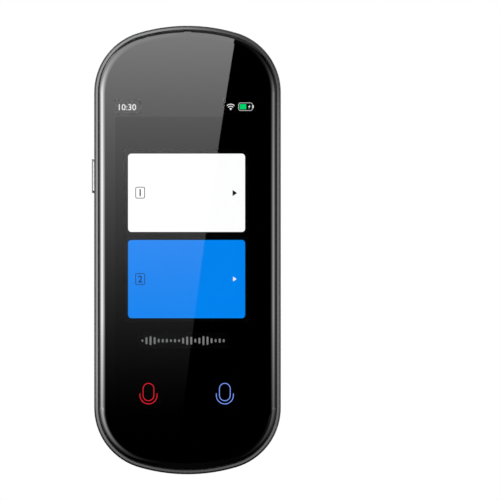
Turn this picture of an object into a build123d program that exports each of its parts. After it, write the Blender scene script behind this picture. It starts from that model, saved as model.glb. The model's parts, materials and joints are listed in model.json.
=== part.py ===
from build123d import *
import math
import os

# Handheld voice translator, in millimetres.
# +Z runs up the long axis, the screen faces -Y and the back faces +Y, so +X is the viewer's right
# from the front. The origin is the middle of the body.

os.makedirs("parts", exist_ok=True)

# ---- body ----
body_width = 56.0
body_length = 134.6
body_depth = 13.0
corner_radius = 18.65  # outline radius where the straight sides turn
crown_radius = 51.4  # outline radius of the bowed ends

# ---- cover glass ----
glass_thickness = 0.9
glass_gap = 0.28  # between the glass and the frame's lip
glass_edge_width = 1.9  # width of the rounded band along the glass's edge
glass_edge_drop = 0.45  # how far that band falls
tape_thickness = 0.2
tape_margin = 0.12  # tape edge to ledge edge
mic_tape_margin = 0.24  # tape edge to the microphone's sound slot

# ---- front frame ----
lip_width = 1.1
lip_drop = 0.55  # lip lies this far below the glass face
lip_outer_round = 0.5
lip_inner_round = 0.25
ledge_inset = 3.2  # how far the ledge under the glass reaches in
tongue_length = 1.16  # tongue that nests in the back cover
tongue_thickness = 0.8
parting_chamfer = 0.12

# ---- back cover ----
cover_wall = 1.4
edge_radius = 8.1  # big rounding of the side
edge_end_slope = 30  # slope left where that rounding ends, degrees
border_radius = 11.3  # gentler arc that runs out level into the panel
panel_margin = 0.8  # flat stretch of the section past the border

# ---- clearances ----
housing_fit = 0.12  # tongue to cover
slide_fit = 0.12  # button to its slot
part_fit = 0.1  # loose fit between fixed pieces
screw_fit = 0.05

# ---- display ----
sensor_thickness = 0.2
panel_thickness = 1.1
backlight_thickness = 1.3
display_side_gap = 0.6  # display to the frame's ledge
driver_ledge = 2.5  # strip of panel that the backlight leaves free for the flex
display_to_keys = 9.1  # display's lower edge to the touch keys' centre
display_corner = 0.8

# ---- touch keys ----
key_height = 24.2  # keys' centre above the bottom end
red_key_x = -11.7
blue_key_x = 11.2
guide_width = 9.0
guide_height = 10.0
key_board_height = 11.0
key_board_margin = 1.3
key_board_thickness = 0.6
key_corner = 0.8

# ---- mid plate and boards ----
plate_thickness = 0.7
board_inset = 4.2
main_board_thickness = 1.0
sub_board_thickness = 0.8
main_board_gap = 1.1  # mid plate to main board
sub_board_gap = 1.0
sub_board_height = 22.3  # board's upper edge above the bottom end
board_below_button = 2.0  # main board's lower edge below the power button
standoff_radius = 1.7

# ---- battery ----
battery_width = 40.0
battery_tape_thickness = 0.2
battery_side_gap = 2.0  # to the boards above and below
swelling_gap = 1.2  # to the back cover
battery_corner = 2.0

# ---- power button ----
button_drop = 45.1  # button's centre below the top end
button_behind_parting = 1.71
button_length = 10.3
button_height = 2.2
button_proud = 0.7
button_travel = 0.3
button_cap_round = 0.35
flange_margin = 0.45
flange_thickness = 0.7
button_pad_inset = 2.3  # flat that the flange rests against
nub_length = 0.5
nub_radius = 0.9
switch_gap = 0.05  # left between nub and pressed dome
dome_thickness = 0.7
dome_length = 3.6
dome_height = 2.4
dome_corner = 0.1
button_board_thickness = 0.4
button_board_length = 9.0
button_board_height = 2.8
ear_thickness = 0.6
ear_length = 10.0
pad_rim = 0.6
pad_depth = 1.3

# ---- camera ----
camera_x = -1.2
camera_drop = 12.7  # lens centre below the top end
trim_radius = 4.1
trim_wall = 0.45
trim_sunk = 0.05  # ring below the panel
trim_flange = 0.5
window_thickness = 0.6
window_sunk = 0.1
window_shoulder = 0.4
trim_chamfer = 0.12
window_fit = 0.05
camera_boss_radius = 6.0
camera_boss_height = 0.55
camera_seat_depth = 1.9
camera_body_size = 8.5
camera_body_height = 3.1
camera_body_corner = 0.8
barrel_radius = 2.9
barrel_gap = 0.35  # barrel to window
lens_radius = 2.5
lens_dome = 0.6
lens_seat = 0.4

# ---- speaker ----
grille_arc_drop = 8.05  # centre of the hole arcs below the top end
upper_row_radius = 16.1
upper_row_holes = 5
lower_row_radius = 19.6
lower_row_holes = 7
grille_pitch = 2.46
grille_hole_radius = 0.8
speaker_width = 20.0
speaker_height = 11.0
speaker_corner = 1.5
mesh_thickness = 0.15
speaker_gasket_thickness = 0.4
speaker_gasket_wall = 1.0
speaker_board_gap = 0.95

# ---- USB-C socket ----
usb_width = 8.94
usb_height = 3.16
usb_wall = 0.3
usb_length = 7.35
usb_recess = 1.6  # mouth above the bottom end
usb_fit = 0.15
usb_tongue_width = 6.69
usb_tongue_thickness = 0.7
usb_tongue_length = 4.45

# ---- microphones ----
mic_slot_width = 2.4
mic_notch_depth = 0.35
mic_channel = 1.2  # length of the sound slot in the ledge
mic_width = 3.8
mic_length = 3.0
mic_height = 1.1
mic_port_radius = 0.5
boot_width = 5.2
boot_start_inset = 7.2  # boot's inner end, from the body's end
boot_end_inset = 2.6

# ---- flexes and connectors ----
flex_thickness = 0.2
flex_clearance = 0.7
display_flex_width = 10.0
link_width = 3.2
connector_height = 0.5
connector_width = 3.0
connector_length = 4.5
battery_lead_x = -8.0
battery_lead_width = 4.0
battery_lead_thickness = 0.8
battery_connector_rise = 1.5
battery_connector_height = 1.2
camera_flex_width = 4.0
camera_flex_length = 7.0
contact_spacing = 13.4
contact_width = 1.6
contact_length = 3.0

# ---- chips ----
shield_rise = 12.45  # middle of the shielded parts above the main board's lower edge
shield_width = 26.0
shield_length = 13.5
shield_height = 1.7
shield_wall = 0.2
shield_corner = 0.8
chip_side = 0.6  # chips to the shield's inner wall
chip_height = 1.0
processor_size = 11.5
memory_width = 10.0
memory_length = 12.0
radio_gap = 1.5  # radio module to shield
radio_width = 11.0
radio_length = 12.0
radio_height = 1.9
antenna_edge = 11.3  # board's side edge to the antenna's middle
antenna_drop = 9.6
antenna_length = 8.0
antenna_width = 2.0
antenna_height = 1.2

# ---- screws ----
screw_radius = 0.7
screw_head_radius = 1.3
screw_head_height = 0.6
frame_boss_radius = 1.8
frame_boss_inset = 4.5
frame_boss_angle = 50
frame_boss_height = 1.8
screw_edge = 4.3  # board's side edge to its screws
main_screw_rise = 2.7
lower_screw_edge = 9.3  # board's side edge to the lower screw
lower_screw_rise = 3.0
sub_screw_x = 15.0
sub_screw_height = 14.3

# ---- worked out from the sizes above ----
half_width = body_width / 2
half_length = body_length / 2
front_y = -body_depth / 2
back_y = body_depth / 2

corner_x = half_width - corner_radius
crown_z = half_length - crown_radius
corner_z = crown_z + math.sqrt((crown_radius - corner_radius) ** 2 - corner_x**2)
join_angle = math.degrees(math.atan2(corner_z - crown_z, corner_x))

glass_back_y = front_y + glass_thickness
ledge_y = glass_back_y + tape_thickness
lip_y = front_y + lip_drop
panel_front_y = glass_back_y + sensor_thickness
panel_back_y = panel_front_y + panel_thickness
plate_front_y = panel_back_y + backlight_thickness
plate_back_y = plate_front_y + plate_thickness

edge_rise = edge_radius * math.cos(math.radians(edge_end_slope))
border_rise = border_radius * (1 - math.cos(math.radians(edge_end_slope)))
parting_y = back_y - edge_rise - border_rise
cover_inner_y = back_y - cover_wall

inner_edge_radius = edge_radius - cover_wall
tongue_outer = edge_radius - math.sqrt(inner_edge_radius**2 - tongue_length**2) + housing_fit
tongue_inner = tongue_outer + tongue_thickness

display_top_z = corner_z
key_z = key_height - half_length
display_bottom_z = key_z + display_to_keys
display_width = 2 * (half_width - ledge_inset - display_side_gap)

main_front_y = plate_back_y + main_board_gap
main_back_y = main_front_y + main_board_thickness
sub_front_y = plate_back_y + sub_board_gap
sub_back_y = sub_front_y + sub_board_thickness
sub_top_z = sub_board_height - half_length

button_z = half_length - button_drop
button_y = parting_y + button_behind_parting
main_bottom_z = button_z - button_length / 2 - board_below_button
shield_z = main_bottom_z + shield_rise
flange_x = button_pad_inset - half_width
flange_half_length = button_length / 2 + flange_margin
flange_half_height = button_height / 2 + flange_margin
pad_length = 2 * flange_half_length + pad_rim
pad_height = 2 * flange_half_height + pad_rim
nub_tip_x = flange_x + flange_thickness + nub_length
dome_x = nub_tip_x + button_travel + switch_gap
ear_x = dome_x + dome_thickness + button_board_thickness

battery_front_y = plate_back_y + battery_tape_thickness
battery_back_y = cover_inner_y - swelling_gap
battery_top_z = main_bottom_z - battery_side_gap
battery_bottom_z = sub_top_z + battery_side_gap

camera_z = half_length - camera_drop
camera_seat_y = back_y - camera_seat_depth
trim_back_y = back_y - trim_sunk
window_front_y = trim_back_y - window_sunk - window_thickness
flange_radius = trim_radius + trim_wall
camera_body_y = main_back_y + camera_body_height

grille_arc_z = half_length - grille_arc_drop
grille_rows = ((upper_row_radius, upper_row_holes), (lower_row_radius, lower_row_holes))
speaker_z = grille_arc_z - (upper_row_radius + lower_row_radius) / 2
mesh_y = cover_inner_y - mesh_thickness
speaker_back_y = mesh_y - speaker_gasket_thickness
speaker_front_y = main_back_y + speaker_board_gap

ear_top_y = button_y + button_board_height / 2

board_side_x = half_width - board_inset
chips_middle_x = (ear_x + ear_thickness + board_side_x) / 2
chips_width = radio_width + radio_gap + shield_width
radio_x = chips_middle_x - chips_width / 2 + radio_width / 2
shield_x = chips_middle_x + chips_width / 2 - shield_width / 2
chip_reach = shield_width / 2 - shield_wall - chip_side
processor_x = shield_x - chip_reach + processor_size / 2
memory_x = shield_x + chip_reach - memory_width / 2
antenna_x = board_side_x - antenna_edge

main_screw_x = board_side_x - screw_edge
main_screw_z = corner_z + main_screw_rise
lower_screw_x = board_side_x - lower_screw_edge
sub_screw_z = sub_screw_height - half_length

usb_y = sub_back_y + usb_height / 2
usb_mouth_z = usb_recess - half_length


def facing(y):
    """Sketch plane across the body at depth y, seen from the front; extrude(-t) goes towards the back."""
    return Plane.XZ.offset(-y)


def arc_point(centre_x, centre_z, radius, angle):
    """Point on a circle, angle in degrees from +X."""
    turn = math.radians(angle)
    return (centre_x + radius * math.cos(turn), centre_z + radius * math.sin(turn))


def corner_point(inset, angle):
    """Point of the upper right corner arc, moved in from the outline."""
    return arc_point(corner_x, corner_z, corner_radius - inset, angle)


def outline_lines(inset=0.0):
    """The body's outline as two sides, four corners and two crowns, moved in by inset."""
    for side in (1, -1):
        x = side * (half_width - inset)
        Line((x, -corner_z), (x, corner_z))
        for end in (1, -1):
            corner = [corner_point(inset, angle) for angle in (0, join_angle / 2, join_angle)]
            ThreePointArc(*[(side * px, end * pz) for px, pz in corner])
    for end in (1, -1):
        angles = (join_angle, 90, 180 - join_angle)
        crown = [arc_point(0, crown_z, crown_radius - inset, angle) for angle in angles]
        ThreePointArc(*[(px, end * pz) for px, pz in crown])


def outline(inset=0.0):
    """The outline as a filled sketch."""
    with BuildSketch() as shape:
        with BuildLine():
            outline_lines(inset)
        make_face()
    return shape.sketch


def edge_path():
    """The outline as a closed path for sections to be carried round."""
    with BuildLine(Plane.XZ) as path:
        outline_lines()
    return path.wires()[0]


# Sections are drawn here: local x runs in from the outline, local y is the depth y.
section_plane = Plane(origin=(half_width, 0, -corner_z), x_dir=(-1, 0, 0), z_dir=(0, 0, -1))


def window(low_x, high_x, low_z, high_z, mode=Mode.ADD):
    """Rectangle by its limits, in a sketch that faces front."""
    middle = ((low_x + high_x) / 2, (low_z + high_z) / 2)
    with Locations(middle):
        return Rectangle(high_x - low_x, high_z - low_z, mode=mode)


def save(builder, name):
    """Labels a finished piece and writes it."""
    builder.part.label = name
    export_step(builder.part, f"parts/{name}.step")


# ---- cover glass: flat sheet whose edge falls away in one arc, with a notch for each microphone ----
glass_inset = lip_width + glass_gap
glass_edge_radius = (glass_edge_width**2 + glass_edge_drop**2) / (2 * glass_edge_drop)
glass_edge_slope = math.degrees(math.asin(glass_edge_width / glass_edge_radius))
glass_flat_inset = glass_inset + glass_edge_width
glass_overlap = 0.5

with BuildPart() as cover_glass:
    with BuildSketch(section_plane):
        with BuildLine():
            fall = JernArc(
                start=(glass_flat_inset, front_y),
                tangent=(-1, 0),
                radius=glass_edge_radius,
                arc_size=-glass_edge_slope,
            )
            Polyline(
                fall @ 1,
                (glass_inset, glass_back_y),
                (glass_flat_inset + glass_overlap, glass_back_y),
                (glass_flat_inset + glass_overlap, front_y),
                fall @ 0,
            )
        make_face()
    sweep(path=edge_path())
    with BuildSketch(facing(front_y)):
        add(outline(glass_flat_inset))
    extrude(amount=-glass_thickness)
    with BuildSketch(facing(front_y)):
        for end in (1, -1):
            with Locations((0, end * (half_length - glass_inset))):
                SlotOverall(mic_slot_width, 2 * mic_notch_depth)
    extrude(amount=-glass_thickness, mode=Mode.SUBTRACT)
save(cover_glass, "cover_glass")

# ---- front frame: lip round the glass, ledge under it, rail for the mid plate, tongue for the cover ----
mic_slot_z = half_length - glass_inset - mic_channel / 2  # middle of the sound slot in the ledge

with BuildPart() as front_frame:
    with BuildSketch(section_plane):
        with BuildLine():
            Polyline(
                (0, parting_y),
                (0, lip_y),
                (lip_width, lip_y),
                (lip_width, ledge_y),
                (ledge_inset, ledge_y),
                (ledge_inset, plate_front_y),
                (tongue_inner, plate_front_y),
                (tongue_inner, parting_y + tongue_length),
                (tongue_outer, parting_y + tongue_length),
                (tongue_outer, parting_y),
                close=True,
            )
        make_face()
        lip_corners = vertices().group_by(Axis.Y)[0].sort_by(Axis.X)
        parting_corner = vertices().sort_by(Axis.X).filter_by(lambda v: abs(v.Y - parting_y) < 0.01)[0]
        fillet(lip_corners[0], lip_outer_round)
        fillet(lip_corners[1], lip_inner_round)
        chamfer(parting_corner, parting_chamfer)
    sweep(path=edge_path())
    boss_spots = [
        (side * x, end * z)
        for x, z in [corner_point(frame_boss_inset, frame_boss_angle)]
        for side in (1, -1)
        for end in (1, -1)
    ]
    with BuildSketch(facing(plate_front_y)):
        with Locations(*boss_spots):
            Circle(frame_boss_radius)
            Circle(screw_radius + screw_fit, mode=Mode.SUBTRACT)
    extrude(amount=frame_boss_height)
    with BuildSketch(facing(ledge_y)):
        for end in (1, -1):
            with Locations((0, end * mic_slot_z)):
                Rectangle(mic_slot_width, mic_channel)
    extrude(amount=ledge_y - plate_front_y, mode=Mode.SUBTRACT)
    # gap in the tongue, where the power button's pad and flange stand
    with BuildSketch(Plane.YZ.offset(-half_width)):
        with Locations((parting_y, button_z)):
            Rectangle(2 * tongue_length, pad_length + 2 * part_fit, align=(Align.MIN, Align.CENTER))
    extrude(amount=2 * tongue_inner, mode=Mode.SUBTRACT)
save(front_frame, "front_frame")

# ---- back cover: one section carried round the outline, closed by the flat panel ----
with BuildPart() as back_cover:
    with BuildSketch(section_plane):
        with BuildLine():
            edge = JernArc(
                start=(0, parting_y), tangent=(0, 1), radius=edge_radius, arc_size=edge_end_slope - 90
            )
            border = JernArc(
                start=edge @ 1, tangent=edge % 1, radius=border_radius, arc_size=-edge_end_slope
            )
            Line(border @ 1, border @ 1 + (panel_margin, 0))
            offset(amount=cover_wall, side=Side.RIGHT, closed=True)
        make_face()
        chamfer(vertices().sort_by(Axis.X)[0], parting_chamfer)
    sweep(path=edge_path())
    panel_inset = (border @ 1).X
    with BuildSketch(facing(cover_inner_y)):
        add(outline(panel_inset + panel_margin / 2))
    extrude(amount=-cover_wall)
    # pad inside the side wall: the flat that the button's flange rests against
    with BuildSketch(Plane.YZ.offset(flange_x)):
        with Locations((button_y, button_z)):
            Rectangle(pad_height, pad_length)
        with Locations((parting_y, button_z)):
            Rectangle(pad_height, pad_length, align=(Align.MAX, Align.CENTER), mode=Mode.SUBTRACT)
    extrude(amount=-pad_depth)
    with BuildSketch(Plane.YZ.offset(flange_x)):
        with Locations((button_y, button_z)):
            SlotOverall(button_length + 2 * slide_fit, button_height + 2 * slide_fit, rotation=90)
    extrude(amount=-2 * button_pad_inset, mode=Mode.SUBTRACT)
    # seat for the camera's trim ring, with the ring's hole
    with BuildSketch(facing(camera_seat_y)):
        with Locations((camera_x, camera_z)):
            Circle(camera_boss_radius)
    extrude(amount=-camera_boss_height)
    with BuildSketch(facing(camera_seat_y)):
        with Locations((camera_x, camera_z)):
            Circle(flange_radius + part_fit)
    extrude(amount=camera_boss_height, mode=Mode.SUBTRACT)
    with BuildSketch(facing(back_y)):
        with Locations((camera_x, camera_z)):
            Circle(trim_radius + part_fit / 2)
        for arc_radius, holes in grille_rows:
            span = math.degrees(grille_pitch / arc_radius) * (holes - 1)
            with Locations((camera_x, grille_arc_z)):
                with PolarLocations(arc_radius, holes, -90 - span / 2, span, endpoint=True):
                    Circle(grille_hole_radius)
    extrude(amount=camera_seat_depth + camera_boss_height, mode=Mode.SUBTRACT)
    # mouth for the USB-C socket
    with BuildSketch(Plane.XY.offset(-half_length)):
        with Locations((0, usb_y)):
            SlotOverall(usb_width + 2 * usb_fit, usb_height + 2 * usb_fit)
    extrude(amount=board_inset, mode=Mode.SUBTRACT)
save(back_cover, "back_cover")

# ---- glass tape and touch sensor ----
tape_gap = mic_slot_width + 2 * mic_tape_margin

with BuildPart() as glass_tape:
    with BuildSketch(facing(glass_back_y)):
        add(outline(glass_inset + tape_margin))
        add(outline(ledge_inset - tape_margin), mode=Mode.SUBTRACT)
        Rectangle(tape_gap, body_length, mode=Mode.SUBTRACT)
    extrude(amount=-tape_thickness)
save(glass_tape, "glass_tape")

with BuildPart() as touch_sensor:
    with BuildSketch(facing(glass_back_y)):
        window(-display_width / 2, display_width / 2, key_z - guide_height / 2 - part_fit, display_top_z)
        fillet(vertices(), display_corner)
    extrude(amount=-sensor_thickness)
save(touch_sensor, "touch_sensor")

# ---- display: panel, then backlight behind it ----
with BuildPart() as lcd_panel:
    with BuildSketch(facing(panel_front_y)):
        window(-display_width / 2, display_width / 2, display_bottom_z, display_top_z)
        fillet(vertices(), display_corner)
    extrude(amount=-panel_thickness)
save(lcd_panel, "lcd_panel")

with BuildPart() as backlight:
    with BuildSketch(facing(panel_back_y)):
        window(-display_width / 2, display_width / 2, display_bottom_z + driver_ledge, display_top_z)
        fillet(vertices(), display_corner)
    extrude(amount=-backlight_thickness)
save(backlight, "backlight")

# ---- touch-key lights: a guide behind each key, and the board that lights them ----
key_board_y = plate_front_y - key_board_thickness
key_board_half = max(abs(red_key_x), abs(blue_key_x)) + guide_width / 2 + key_board_margin

with BuildPart() as key_light_guides:
    with BuildSketch(facing(panel_front_y)):
        with Locations((red_key_x, key_z), (blue_key_x, key_z)):
            RectangleRounded(guide_width, guide_height, key_corner)
    extrude(amount=panel_front_y - key_board_y)
save(key_light_guides, "key_light_guides")

with BuildPart() as key_light_board:
    with BuildSketch(facing(key_board_y)):
        with Locations((0, key_z)):
            RectangleRounded(2 * key_board_half, key_board_height, key_corner)
    extrude(amount=-key_board_thickness)
save(key_light_board, "key_light_board")

# ---- display flex: down behind the panel's ledge, through the mid plate, onto the bottom board ----
flex_turn_z = key_z - key_board_height / 2 - flex_clearance
flex_rear_y = sub_front_y - connector_height
flex_end_z = flex_turn_z - connector_length

with BuildPart() as display_flex:
    with BuildSketch(Plane.YZ):
        with BuildLine():
            Polyline(
                (panel_back_y, display_bottom_z + driver_ledge - part_fit),
                (panel_back_y, flex_turn_z - flex_thickness),
                (flex_rear_y - flex_thickness, flex_turn_z - flex_thickness),
                (flex_rear_y - flex_thickness, flex_end_z),
                (flex_rear_y, flex_end_z),
                (flex_rear_y, flex_turn_z),
                (panel_back_y + flex_thickness, flex_turn_z),
                (panel_back_y + flex_thickness, display_bottom_z + driver_ledge - part_fit),
                close=True,
            )
        make_face()
    extrude(amount=display_flex_width / 2, both=True)
save(display_flex, "display_flex")

with BuildPart() as display_connector:
    with BuildSketch(facing(flex_rear_y)):
        window(-display_flex_width / 2, display_flex_width / 2, flex_end_z, flex_end_z + connector_width)
    extrude(amount=-connector_height)
save(display_connector, "display_connector")

# ---- boards' outlines and fixing points ----
main_screws = (
    (-main_screw_x, main_screw_z),
    (main_screw_x, main_screw_z),
    (lower_screw_x, main_bottom_z + lower_screw_rise),
)
sub_screws = ((-sub_screw_x, sub_screw_z), (sub_screw_x, sub_screw_z))

# ---- mid plate: carries display, boards, battery and the button's ear ----
with BuildPart() as mid_plate:
    with BuildSketch(facing(plate_front_y)):
        add(outline(tongue_inner + part_fit))
        for end in (1, -1):
            with Locations((0, end * half_length)):
                Rectangle(
                    boot_width + 2 * part_fit, 2 * (boot_start_inset + part_fit), mode=Mode.SUBTRACT
                )
        with Locations(*boss_spots):
            Circle(screw_radius + screw_fit, mode=Mode.SUBTRACT)
        with Locations((0, flex_turn_z - flex_thickness / 2)):
            Rectangle(display_flex_width + 2 * flex_clearance, 2 * flex_clearance, mode=Mode.SUBTRACT)
    extrude(amount=-plate_thickness)
    for spots, gap in ((main_screws, main_board_gap), (sub_screws, sub_board_gap)):
        with BuildSketch(facing(plate_back_y)):
            with Locations(*spots):
                Circle(standoff_radius)
        extrude(amount=-gap)
    with BuildSketch(facing(main_front_y)):
        with Locations(*main_screws, *sub_screws):
            Circle(screw_radius + screw_fit)
    extrude(amount=main_board_gap + plate_thickness, mode=Mode.SUBTRACT)
    with BuildSketch(Plane.YZ.offset(ear_x)):
        with Locations(((plate_back_y + ear_top_y) / 2, button_z)):
            Rectangle(ear_top_y - plate_back_y, ear_length)
    extrude(amount=ear_thickness)
save(mid_plate, "mid_plate")

# ---- boards ----
with BuildPart() as main_board:
    with BuildSketch(facing(main_front_y)):
        add(outline(board_inset))
        with Locations((0, main_bottom_z)):
            Rectangle(body_width, 2 * body_length, align=(Align.CENTER, Align.MAX), mode=Mode.SUBTRACT)
        window(
            -half_width,
            ear_x + ear_thickness + part_fit,
            main_bottom_z,
            button_z + flange_half_length + part_fit,
            mode=Mode.SUBTRACT,
        )
        with Locations(*main_screws):
            Circle(screw_radius + screw_fit, mode=Mode.SUBTRACT)
    extrude(amount=-main_board_thickness)
save(main_board, "main_board")

with BuildPart() as sub_board:
    with BuildSketch(facing(sub_front_y)):
        add(outline(board_inset))
        with Locations((0, sub_top_z)):
            Rectangle(body_width, 2 * body_length, align=(Align.CENTER, Align.MIN), mode=Mode.SUBTRACT)
        with Locations(*sub_screws):
            Circle(screw_radius + screw_fit, mode=Mode.SUBTRACT)
    extrude(amount=-sub_board_thickness)
save(sub_board, "sub_board")

# ---- flex that links the boards, beside the battery, with a connector under each board ----
link_middle_x = (battery_width / 2 + board_side_x) / 2
link_top_z = main_bottom_z + connector_length
link_bottom_z = sub_top_z - connector_length

with BuildPart() as board_link_flex:
    with BuildSketch(facing(plate_back_y)):
        window(
            link_middle_x - link_width / 2, link_middle_x + link_width / 2, link_bottom_z, link_top_z
        )
    extrude(amount=-flex_thickness)
save(board_link_flex, "board_link_flex")

with BuildPart() as link_connectors:
    for low_z, board_y in ((link_top_z - connector_width, main_front_y), (link_bottom_z, sub_front_y)):
        with BuildSketch(facing(plate_back_y + flex_thickness)):
            window(
                link_middle_x - link_width / 2,
                link_middle_x + link_width / 2,
                low_z,
                low_z + connector_width,
            )
        extrude(amount=plate_back_y + flex_thickness - board_y)
save(link_connectors, "link_connectors")

# ---- battery ----
with BuildPart() as battery_tape:
    with BuildSketch(facing(plate_back_y)):
        window(
            battery_corner - battery_width / 2,
            battery_width / 2 - battery_corner,
            battery_bottom_z + battery_corner,
            battery_top_z - battery_corner,
        )
    extrude(amount=-battery_tape_thickness)
save(battery_tape, "battery_tape")

with BuildPart() as battery:
    with BuildSketch(facing(battery_front_y)):
        window(-battery_width / 2, battery_width / 2, battery_bottom_z, battery_top_z)
        fillet(vertices(), battery_corner)
    extrude(amount=battery_front_y - battery_back_y)
save(battery, "battery")

with BuildPart() as battery_connector:
    with BuildSketch(facing(main_back_y)):
        with Locations((battery_lead_x, main_bottom_z + battery_connector_rise)):
            Rectangle(battery_lead_width + 2 * part_fit, connector_width, align=(Align.CENTER, Align.MIN))
    extrude(amount=-battery_connector_height)
save(battery_connector, "battery_connector")

with BuildPart() as battery_lead:
    with BuildSketch(facing(main_back_y + part_fit)):
        window(
            battery_lead_x - battery_lead_width / 2,
            battery_lead_x + battery_lead_width / 2,
            battery_top_z,
            main_bottom_z + battery_connector_rise,
        )
    extrude(amount=-battery_lead_thickness)
save(battery_lead, "battery_lead")

# ---- chips on the main board ----
with BuildPart() as processor:
    with BuildSketch(facing(main_back_y)):
        with Locations((processor_x, shield_z)):
            Rectangle(processor_size, processor_size)
    extrude(amount=-chip_height)
save(processor, "processor")

with BuildPart() as memory_chip:
    with BuildSketch(facing(main_back_y)):
        with Locations((memory_x, shield_z)):
            Rectangle(memory_width, memory_length)
    extrude(amount=-chip_height)
save(memory_chip, "memory_chip")

with BuildPart() as shield_can:
    with BuildSketch(facing(main_back_y)):
        with Locations((shield_x, shield_z)):
            RectangleRounded(shield_width, shield_length, shield_corner)
    extrude(amount=-shield_height)
    with BuildSketch(facing(main_back_y)):
        with Locations((shield_x, shield_z)):
            Rectangle(shield_width - 2 * shield_wall, shield_length - 2 * shield_wall)
    extrude(amount=shield_wall - shield_height, mode=Mode.SUBTRACT)
save(shield_can, "shield_can")

with BuildPart() as radio_module:
    with BuildSketch(facing(main_back_y)):
        with Locations((radio_x, shield_z)):
            Rectangle(radio_width, radio_length)
    extrude(amount=-radio_height)
save(radio_module, "radio_module")

with BuildPart() as chip_antenna:
    with BuildSketch(facing(main_back_y)):
        with Locations((antenna_x, half_length - antenna_drop)):
            Rectangle(antenna_length, antenna_width)
    extrude(amount=-antenna_height)
save(chip_antenna, "chip_antenna")

# ---- camera ----
with BuildPart() as camera_trim:
    with BuildSketch(facing(camera_seat_y)):
        with Locations((camera_x, camera_z)):
            Circle(trim_radius)
    extrude(amount=camera_seat_y - trim_back_y)
    with BuildSketch(facing(camera_seat_y)):
        with Locations((camera_x, camera_z)):
            Circle(flange_radius)
    extrude(amount=trim_flange)
    with BuildSketch(facing(camera_seat_y - trim_flange)):
        with Locations((camera_x, camera_z)):
            Circle(trim_radius - trim_wall - window_shoulder)
    extrude(amount=camera_seat_y - trim_flange - trim_back_y, mode=Mode.SUBTRACT)
    with BuildSketch(facing(window_front_y)):
        with Locations((camera_x, camera_z)):
            Circle(trim_radius - trim_wall)
    extrude(amount=window_front_y - trim_back_y, mode=Mode.SUBTRACT)
    chamfer(edges().filter_by(GeomType.CIRCLE).group_by(Axis.Y)[-1], trim_chamfer)
save(camera_trim, "camera_trim")

with BuildPart() as camera_window:
    with BuildSketch(facing(window_front_y)):
        with Locations((camera_x, camera_z)):
            Circle(trim_radius - trim_wall - window_fit)
    extrude(amount=-window_thickness)
save(camera_window, "camera_window")

with BuildPart() as camera_gasket:
    with BuildSketch(facing(camera_body_y)):
        with Locations((camera_x, camera_z)):
            Circle(trim_radius)
            Circle(barrel_radius + window_shoulder, mode=Mode.SUBTRACT)
    extrude(amount=camera_body_y - camera_seat_y + trim_flange)
save(camera_gasket, "camera_gasket")

with BuildPart() as camera_body:
    with BuildSketch(facing(main_back_y)):
        with Locations((camera_x, camera_z)):
            RectangleRounded(camera_body_size, camera_body_size, camera_body_corner)
    extrude(amount=-camera_body_height)
save(camera_body, "camera_body")

barrel_end_y = window_front_y - barrel_gap - lens_dome

with BuildPart() as camera_barrel:
    with BuildSketch(facing(camera_body_y)):
        with Locations((camera_x, camera_z)):
            Circle(barrel_radius)
    extrude(amount=camera_body_y - barrel_end_y)
    with BuildSketch(facing(barrel_end_y)):
        with Locations((camera_x, camera_z)):
            Circle(lens_radius + window_fit)
    extrude(amount=lens_seat, mode=Mode.SUBTRACT)
save(camera_barrel, "camera_barrel")

lens_ball_radius = (lens_radius**2 + lens_dome**2) / (2 * lens_dome)

with BuildPart() as camera_lens:
    with BuildSketch(facing(barrel_end_y - lens_seat)):
        with Locations((camera_x, camera_z)):
            Circle(lens_radius)
    extrude(amount=-lens_seat - lens_dome)
    with Locations((camera_x, barrel_end_y + lens_dome - lens_ball_radius, camera_z)):
        Sphere(lens_ball_radius, mode=Mode.INTERSECT)
save(camera_lens, "camera_lens")

camera_side_x = camera_x + camera_body_size / 2

with BuildPart() as camera_flex:
    with BuildSketch(facing(main_back_y)):
        window(
            camera_side_x,
            camera_side_x + camera_flex_length,
            camera_z - camera_flex_width / 2,
            camera_z + camera_flex_width / 2,
        )
    extrude(amount=-flex_thickness)
save(camera_flex, "camera_flex")

with BuildPart() as camera_connector:
    with BuildSketch(facing(main_back_y + flex_thickness)):
        window(
            camera_side_x + camera_flex_length - connector_width,
            camera_side_x + camera_flex_length,
            camera_z - camera_flex_width / 2,
            camera_z + camera_flex_width / 2,
        )
    extrude(amount=-connector_height)
save(camera_connector, "camera_connector")

# ---- speaker, behind the holes ----
with BuildPart() as speaker_mesh:
    with BuildSketch(facing(mesh_y)):
        with Locations((camera_x, speaker_z)):
            RectangleRounded(speaker_width, speaker_height, speaker_corner)
    extrude(amount=-mesh_thickness)
save(speaker_mesh, "speaker_mesh")

with BuildPart() as speaker_gasket:
    with BuildSketch(facing(speaker_back_y)):
        with Locations((camera_x, speaker_z)):
            RectangleRounded(speaker_width, speaker_height, speaker_corner)
            Rectangle(
                speaker_width - 2 * speaker_gasket_wall,
                speaker_height - 2 * speaker_gasket_wall,
                mode=Mode.SUBTRACT,
            )
    extrude(amount=-speaker_gasket_thickness)
save(speaker_gasket, "speaker_gasket")

with BuildPart() as speaker:
    with BuildSketch(facing(speaker_front_y)):
        with Locations((camera_x, speaker_z)):
            RectangleRounded(speaker_width, speaker_height, speaker_corner)
    extrude(amount=speaker_front_y - speaker_back_y)
save(speaker, "speaker")

with BuildPart() as speaker_contacts:
    with BuildSketch(facing(main_back_y)):
        with Locations((camera_x, speaker_z)):
            with GridLocations(contact_spacing, 0, 2, 1):
                Rectangle(contact_width, contact_length)
    extrude(amount=-speaker_board_gap)
save(speaker_contacts, "speaker_contacts")

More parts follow.
